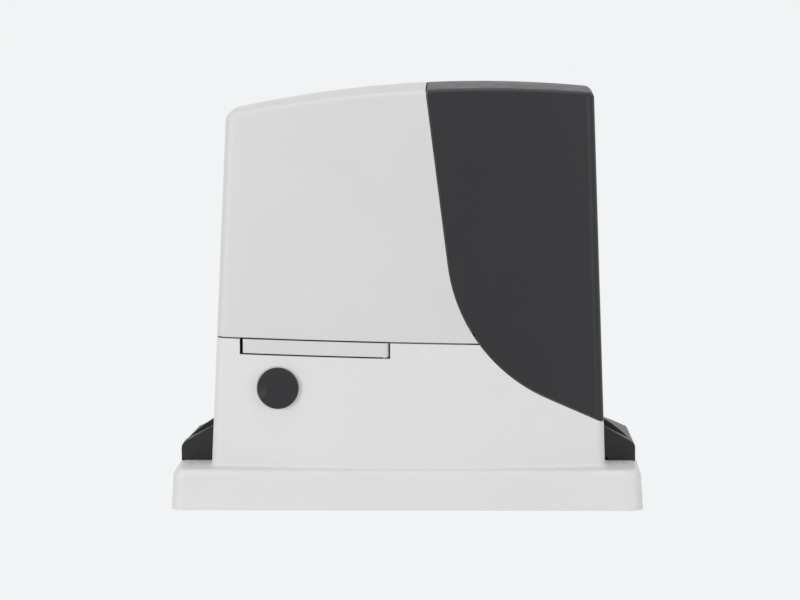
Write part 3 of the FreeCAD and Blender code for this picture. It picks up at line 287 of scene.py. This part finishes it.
class Solids:
    """Collects simple closed solids, in metres, into one mesh."""

    def __init__(self):
        self.vertices = []
        self.faces = []

    def block(self, low, high):
        """Box between its lowest and highest corners."""
        first = len(self.vertices)
        for i in range(8):
            self.vertices.append([(low, high)[i >> axis & 1][axis] for axis in range(3)])
        self.faces += [[first + i for i in face] for face in BLOCK_FACES]

    def disc(self, centre, axis, radius, length):
        """Cylinder from centre along the unit vector axis."""
        self.tube([centre, centre + axis * length], radius, sides=20)

    def tube(self, path, radius, sides=10):
        """Round bar along a path of points, capped at both ends."""
        first = len(self.vertices)
        turn = None
        for i, point in enumerate(path):
            ahead = (path[min(i + 1, len(path) - 1)] - path[max(i - 1, 0)]).normalized()
            side = turn - ahead * turn.dot(ahead) if turn else ahead.orthogonal()
            turn = side.normalized()
            across = ahead.cross(turn)
            for k in range(sides):
                angle = 2 * math.pi * k / sides
                outwards = turn * math.cos(angle) + across * math.sin(angle)
                self.vertices.append(point + outwards * radius)
        for i in range(len(path) - 1):
            for k in range(sides):
                a = first + i * sides + k
                b = first + i * sides + (k + 1) % sides
                self.faces.append((a, b, b + sides, a + sides))
        self.faces.append([first + k for k in reversed(range(sides))])
        last = first + (len(path) - 1) * sides
        self.faces.append([last + k for k in range(sides)])

    def add(self, name, slot=None, material=None, smooth=False, body="root"):
        """Makes the piece, in the finish of one of the record's slots or in its own material."""
        mesh = bpy.data.meshes.new(name)
        mesh.from_pydata(self.vertices, [], self.faces)
        mesh.polygons.foreach_set("use_smooth", [smooth] * len(mesh.polygons))
        obj = bpy.data.objects.new(name, mesh)
        bpy.context.collection.objects.link(obj)
        dress(obj, material or MATERIALS[slot])
        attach(obj, body)
        return obj


def box_mm(node):
    """A node's lowest corner, middle and highest corner, in millimetres."""
    low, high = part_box(node)
    middle = [(a + b) / 2 / MM for a, b in zip(low, high)]
    return [v / MM for v in low], middle, [v / MM for v in high]


# ---- wiring inside the body, in millimetres ------------------------------------------------
PATH_STEPS = 9              # steps of a wire's curve between two points of its route
SUPPLY_R, SUPPLY_PITCH = 1.1, 2.6
LEAD_R, LEAD_PITCH = 1.4, 3.2
ENTRY_INSET = 4             # how far in front of the terminal blocks' back the wires enter
ENTRY_DEPTH = 1             # how far they reach in


def smooth_path(points):
    """Catmull-Rom curve through points in millimetres, as points in metres."""
    points = [Vector(p) * MM for p in points]
    ends = [2 * points[0] - points[1], *points, 2 * points[-1] - points[-2]]
    path = []
    for i in range(1, len(ends) - 2):
        before, a, b, after = ends[i - 1:i + 3]
        for step in range(PATH_STEPS):
            t = step / PATH_STEPS
            bend = 2 * a + (b - before) * t + (2 * before - 5 * a + 4 * b - after) * t * t
            path.append((bend + (3 * a - before - 3 * b + after) * t ** 3) / 2)
    return path + [points[-1]]


def loom(name, points, ends, radius, pitch):
    """Wires side by side along points; ends gives each wire's colour and its last point."""
    for i, (colour, last) in enumerate(ends):
        shift = (i - (len(ends) - 1) / 2) * pitch
        route = []
        for (x, y, z), ahead in zip(points, points[1:] + [last]):
            sideways = abs(ahead[0] - x) > abs(ahead[2] - z)
            route.append((x, y, z + shift) if sideways else (x + shift, y, z))
        wire = Solids()
        wire.tube(smooth_path(route + [last]), radius * MM)
        wire.add(f"{name}_{colour}", material=INSULATION[colour], smooth=True)


def make_looms():
    _, (_, coil_y, coil_z), (coil_right, _, _) = box_mm("transformer_winding")
    (blocks_left, _, blocks_foot), _, (_, blocks_back, _) = box_mm("terminal_blocks")
    _, (motor_x, motor_y, _), _ = box_mm("motor_can")
    _, _, (_, _, motor_top) = box_mm("motor_rear_cap")
    _, (mains_x, mains_y, _), (_, _, mains_top) = box_mm("mains_terminal")
    entry_y = blocks_back - ENTRY_INSET

    def entry(along):
        """Where a wire ends in the board's terminal blocks."""
        return blocks_left + along, entry_y, blocks_foot + ENTRY_DEPTH

    # supply from the mains terminal, behind the gear case, to the transformer
    supply = [(mains_x - 8.5, mains_y, mains_top - 5), (mains_x - 9, mains_y + 1, mains_top + 8),
              (mains_x - 18, 25, mains_top + 26), (34, 26, 112), (14, 24, 140), (-14, 14, 160),
              (coil_right - 2, coil_y + 12, coil_z - 12)]
    ends = (("brown", (coil_right - 6, coil_y + 4, coil_z - 6)),
            ("blue", (coil_right - 6, coil_y + 6, coil_z - 11)))
    loom("supply_wire", supply, ends, SUPPLY_R, SUPPLY_PITCH)

    # low voltage from the transformer to the board's left-hand terminals
    low_voltage = [(coil_right - 5, coil_y - 6, coil_z + 6),
                   (coil_right + 8, coil_y - 12, coil_z + 2), (-12, -46, coil_z - 20),
                   (8, -62, 150), (30, entry_y - 3, 122), (blocks_left + 1, entry_y, 124)]
    loom("low_voltage_wire", low_voltage, (("red", entry(3)), ("black", entry(7))),
         SUPPLY_R, SUPPLY_PITCH)

    # motor leads over the board's left edge
    motor = [(motor_x - 16, motor_y, motor_top - 3), (motor_x - 18, motor_y - 6, motor_top + 6),
             (motor_x - 30, motor_y - 34, motor_top - 4), (26, -64, 236), (24, -68, 190),
             (28, -68, 150), (38, entry_y - 4, 121), (blocks_left + 16, entry_y, 123)]
    loom("motor_lead", motor, (("red", entry(18.5)), ("blue", entry(23))), LEAD_R, LEAD_PITCH)


# ---- small parts on the board, in millimetres from its lowest corner ---------------------------
SINK = 0.05                 # how far the parts reach into the board
RESISTOR_ROWS = (26.5, 31.0, 71.0, 88.0)
RESISTORS_IN_ROW = 9
RESISTOR_X, RESISTOR_PITCH, ROW_STAGGER = 8, 3.4, 1.1
RESISTOR_BODY, RESISTOR_END, RESISTOR_TALL = 1.3, 0.35, 1.25
RESISTOR_DEPTH, RESISTOR_END_DEPTH = 0.55, 0.5

CHIPS = ((16, 56, 9, 12), (40, 58, 4, 6))       # x, z, pins on each side, width
CHIP_PITCH, CHIP_PIN_FIRST = 1.27, 0.6
CHIP_PIN_LONG, CHIP_PIN_TALL, CHIP_PIN_DEPTH = 1.1, 0.4, 0.5

HEADER_PINS, HEADER_PITCH, HEADER_PIN, HEADER_PIN_DEPTH = 6, 2.54, 0.64, 7.0
HEADER_X, HEADER_Z = 8, 95
HEADER_BODY = (6.7, 93.9, 16.6, 5.4, 2.5)       # x, z, width, height, depth

TERMINAL_BLOCKS, TERMINALS_IN_BLOCK = 5, 3
TERMINAL_X, TERMINAL_Z, BLOCK_PITCH, TERMINAL_PITCH = 12.5, 15, 15.5, 4.5
TERMINAL_SCREW_R, TERMINAL_SCREW_LONG, TERMINAL_SCREW_OUT = 1.6, 0.9, 7.2
SOLDER_R, SOLDER_LONG, SOLDER_OUT = 1.0, 0.95, 0.9
CORNER_SCREW_INSET, CORNER_SCREW_R, CORNER_SCREW_LONG = 5, 2.8, 1.6

FUSE_ROWS = (32.0, 84.0)
FUSE_X, FUSE_OUT = 56, 4.2
FUSE_GLASS_R, FUSE_GLASS_LONG, FUSE_CAP_R, FUSE_CAP_LONG = 2.4, 10, 2.6, 5
FUSE_CLIPS_X = (57.5, 73.5)
FUSE_CLIP_WIDE, FUSE_CLIP_TALL, FUSE_CLIP_DEPTH = 1.6, 3.0, 2.2

FORWARD = Vector((0, -1, 0))
RIGHT = Vector((1, 0, 0))


def make_board_parts():
    (x0, y0, z0), _, (x1, y1, z1) = box_mm("control_board")

    def on_board(x, z, width, height, depth):
        low = (x0 + x, y0 - depth, z0 + z)
        high = (x0 + x + width, y0 + SINK, z0 + z + height)
        return [v * MM for v in low], [v * MM for v in high]

    resistors, ends = Solids(), Solids()
    for row, z in enumerate(RESISTOR_ROWS):
        for i in range(RESISTORS_IN_ROW):
            x = RESISTOR_X + RESISTOR_PITCH * i + ROW_STAGGER * (row % 2)
            body_x = x + RESISTOR_END
            resistors.block(*on_board(body_x, z, RESISTOR_BODY, RESISTOR_TALL, RESISTOR_DEPTH))
            for end_x in (x, body_x + RESISTOR_BODY):
                ends.block(*on_board(end_x, z, RESISTOR_END, RESISTOR_TALL, RESISTOR_END_DEPTH))
    resistors.add("board_resistors", "chip_black")
    ends.add("board_resistor_ends", "zinc_steel")

    pins, header = Solids(), Solids()
    for x, z, count, width in CHIPS:
        for i in range(count):
            pin_z = z + (CHIP_PIN_FIRST + CHIP_PITCH * i)
            for pin_x in (x - CHIP_PIN_LONG, x + width):
                pins.block(*on_board(pin_x, pin_z, CHIP_PIN_LONG, CHIP_PIN_TALL, CHIP_PIN_DEPTH))
    for i in range(HEADER_PINS):
        for z in (HEADER_Z, HEADER_Z + HEADER_PITCH):
            x = HEADER_X + HEADER_PITCH * i
            pins.block(*on_board(x, z, HEADER_PIN, HEADER_PIN, HEADER_PIN_DEPTH))
    header.block(*on_board(*HEADER_BODY))
    pins.add("board_pins", "zinc_steel")
    header.add("board_pin_header", "chip_black")

    solder, screws = Solids(), Solids()
    for i in range(TERMINAL_BLOCKS):
        for k in range(TERMINALS_IN_BLOCK):
            x = x0 + TERMINAL_X + BLOCK_PITCH * i + TERMINAL_PITCH * k
            z = z0 + TERMINAL_Z
            screws.disc(Vector((x, y0 - TERMINAL_SCREW_OUT, z)) * MM, FORWARD,
                        TERMINAL_SCREW_R * MM, TERMINAL_SCREW_LONG * MM)
            solder.disc(Vector((x, y1 + SOLDER_OUT, z)) * MM, FORWARD,
                        SOLDER_R * MM, SOLDER_LONG * MM)
    for x in (x0 + CORNER_SCREW_INSET, x1 - CORNER_SCREW_INSET):
        for z in (z0 + CORNER_SCREW_INSET, z1 - CORNER_SCREW_INSET):
            screws.disc(Vector((x, y0, z)) * MM, FORWARD,
                        CORNER_SCREW_R * MM, CORNER_SCREW_LONG * MM)
    screws.add("board_screws", "zinc_steel")
    solder.add("board_solder", "zinc_steel")

    glass, caps = Solids(), Solids()
    for row in FUSE_ROWS:
        start = Vector((x0 + FUSE_X, y0 - FUSE_OUT, z0 + row)) * MM
        glass_start = start + RIGHT * FUSE_CAP_LONG * MM
        glass_end = glass_start + RIGHT * FUSE_GLASS_LONG * MM
        glass.disc(glass_start, RIGHT, FUSE_GLASS_R * MM, FUSE_GLASS_LONG * MM)
        for cap_start in (start, glass_end):
            caps.disc(cap_start, RIGHT, FUSE_CAP_R * MM, FUSE_CAP_LONG * MM)
        for x in FUSE_CLIPS_X:
            z = row - FUSE_CLIP_TALL / 2
            caps.block(*on_board(x, z, FUSE_CLIP_WIDE, FUSE_CLIP_TALL, FUSE_CLIP_DEPTH))
    glass.add("fuse_bodies", "terminal_grey", smooth=True)
    caps.add("fuse_caps", "zinc_steel")


# ---- clutch spring, and painted shade in screw recesses -------------------------------------
COIL_WIRE_R = 0.45 * MM
COIL_TURNS, STEPS_A_TURN = 3, 36

# Nodes of one screw or a row of two, with the diameter of the heads
COVER_SCREWS = (("upper_cover_screws", 8.0), ("side_cover_screw", 10.0))
# The crosses are painted shade: dark blocks set into the screw heads where their recesses are
CROSS_LONG, CROSS_WIDE = 2.2, 0.5               # half the length and width of a cross's arm
CROSS_DEEP, CROSS_PROUD = 0.4, 0.02


def make_clutch_coil():
    """The clutch spring, as a fixed coil of wire; the real one closes up as the release draws the
    sleeve back.
    """
    low, high = (Vector(v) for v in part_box("clutch_spring"))
    centre = (low + high) / 2
    radius = (high.x - low.x) / 2 - COIL_WIRE_R
    length = high.y - low.y - 2 * COIL_WIRE_R
    steps = COIL_TURNS * STEPS_A_TURN
    path = []
    for i in range(steps + 1):
        angle = 2 * math.pi * i / STEPS_A_TURN
        along = low.y + COIL_WIRE_R + length * i / steps
        x = centre.x + radius * math.cos(angle)
        z = centre.z - radius * math.sin(angle)
        path.append(Vector((x, along, z)))
    coil = Solids()
    coil.tube(path, COIL_WIRE_R)
    obj = coil.add("clutch_spring_coil", "steel", smooth=True, body="output")
    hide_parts("clutch_spring")
    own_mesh(obj)


def make_painted_recess_shade():
    """Painted shade for the crossed recesses in the heads of the cover screws on the rear wall:
    dark crosses set into the heads, not cut out.
    """
    recess_shade = Solids()
    for node, head in COVER_SCREWS:
        (left, _, _), (_, _, z), (right, back, _) = box_mm(node)
        # the row's first and last screw, which is the same one twice in a node of one
        for x in (left + head / 2, right - head / 2):
            for wide, tall in ((CROSS_LONG, CROSS_WIDE), (CROSS_WIDE, CROSS_LONG)):
                low = (x - wide, back - CROSS_DEEP, z - tall)
                high = (x + wide, back + CROSS_PROUD, z + tall)
                recess_shade.block([v * MM for v in low], [v * MM for v in high])
    recess_shade.add("painted_screw_recess_shade", "chip_black")


make_looms()
make_board_parts()
make_clutch_coil()
make_painted_recess_shade()


# ---- stage: floor, backdrop, lights, camera ----------------------------------------------
PALE = srgb(241, 243, 244)
FLOOR_EDGE = 95.0           # half the floor's width, in metres
FLOOR_DROP = 0.2 * MM       # the floor's gap under the base
FLOOR_GLOW = 1.015
FLOOR_SEEN = 0.97           # share of the glow in what the camera sees of the floor
BACKDROP_LIT, BACKDROP_SEEN = 0.5, 1.0          # the backdrop's strength as light, and as seen

AIM = (0, -0.03, 0.15)
LAMPS = (                   # name, place, side in metres, watts
    ("front_left", (-1.7, -1.75, 0.7), 1.0, 19),
    ("front_right", (1.7, -1.8, 0.65), 1.0, 12.5),
    ("top", (0.0, 0.0, 1.75), 1.4, 8.5),
)

SENSOR_WIDTH, LENS, FAR = 36.0, 106.98, 500.0
CAMERA_PLACE = Vector((0.053166, -1.718964, 0.360))
CAMERA_TARGET = Vector((-0.00616, -0.020, 0.13772))
CAMERA_ROLL = math.radians(-0.342)


def seen_rays(tree):
    """1 for rays from the camera, a reflection or a clear piece, and 0 for light on surfaces."""
    path = tree.nodes.new("ShaderNodeLightPath")
    seen = path.outputs["Is Camera Ray"]
    for kind in ("Is Glossy Ray", "Is Transmission Ray"):
        either = tree.nodes.new("ShaderNodeMath")
        either.operation = "MAXIMUM"
        tree.links.new(seen, either.inputs[0])
        tree.links.new(path.outputs[kind], either.inputs[1])
        seen = either.outputs[0]
    return seen


def floor_material():
    """Takes a faint shadow, and shows the camera and reflections an even pale tone."""
    material = bpy.data.materials.new("stage")
    material.use_nodes = True
    tree = material.node_tree
    shader = tree.nodes["Principled BSDF"]
    shader.inputs["Base Color"].default_value = (*PALE, 1)
    shader.inputs["Roughness"].default_value = 0.9
    shader.inputs["Specular IOR Level"].default_value = 0.1
    glow = tree.nodes.new("ShaderNodeEmission")
    glow.inputs["Color"].default_value = (*PALE, 1)
    glow.inputs["Strength"].default_value = FLOOR_GLOW
    share = tree.nodes.new("ShaderNodeMath")
    share.operation = "MULTIPLY"
    share.inputs[1].default_value = FLOOR_SEEN
    mix = tree.nodes.new("ShaderNodeMixShader")
    tree.links.new(seen_rays(tree), share.inputs[0])
    for i, source in enumerate((share, shader, glow)):
        tree.links.new(source.outputs[0], mix.inputs[i])
    tree.links.new(mix.outputs[0], tree.nodes["Material Output"].inputs["Surface"])
    return material


def make_stage():
    mesh = bpy.data.meshes.new("floor")
    corners = [(x * FLOOR_EDGE, y * FLOOR_EDGE, 0) for x, y in ((-1, -1), (1, -1), (1, 1), (-1, 1))]
    mesh.from_pydata(corners, [], [(0, 1, 2, 3)])
    floor = bpy.data.objects.new("floor", mesh)
    bpy.context.collection.objects.link(floor)
    floor.location.z = -FLOOR_DROP
    mesh.materials.append(floor_material())

    world = bpy.data.worlds.new("studio")
    bpy.context.scene.world = world
    world.use_nodes = True
    tree = world.node_tree
    background = tree.nodes["Background"]
    background.inputs["Color"].default_value = (*PALE, 1)
    level = tree.nodes.new("ShaderNodeMapRange")
    level.inputs["To Min"].default_value = BACKDROP_LIT
    level.inputs["To Max"].default_value = BACKDROP_SEEN
    tree.links.new(seen_rays(tree), level.inputs["Value"])
    tree.links.new(level.outputs["Result"], background.inputs["Strength"])


def make_lights():
    for name, place, size, power in LAMPS:
        light = bpy.data.lights.new(name, "AREA")
        light.shape = "RECTANGLE"
        light.size = light.size_y = size
        light.energy = power
        lamp = bpy.data.objects.new(name, light)
        bpy.context.collection.objects.link(lamp)
        lamp.location = place
        lamp.rotation_euler = (Vector(AIM) - Vector(place)).to_track_quat("-Z", "Y").to_euler()
        lamp.visible_camera = False


def make_camera():
    """The camera that was fitted to the photo."""
    camera = bpy.data.objects.new("camera", bpy.data.cameras.new("camera"))
    bpy.context.collection.objects.link(camera)
    camera.data.sensor_width = SENSOR_WIDTH
    camera.data.lens = LENS
    camera.data.clip_end = FAR
    look = (CAMERA_TARGET - CAMERA_PLACE).to_track_quat("-Z", "Y").to_matrix().to_4x4()
    tilt = Matrix.Rotation(CAMERA_ROLL, 4, "Z")
    camera.matrix_world = Matrix.Translation(CAMERA_PLACE) @ look @ tilt
    bpy.context.scene.camera = camera


make_stage()
make_lights()
make_camera()
bpy.context.scene.view_settings.view_transform = "Standard"
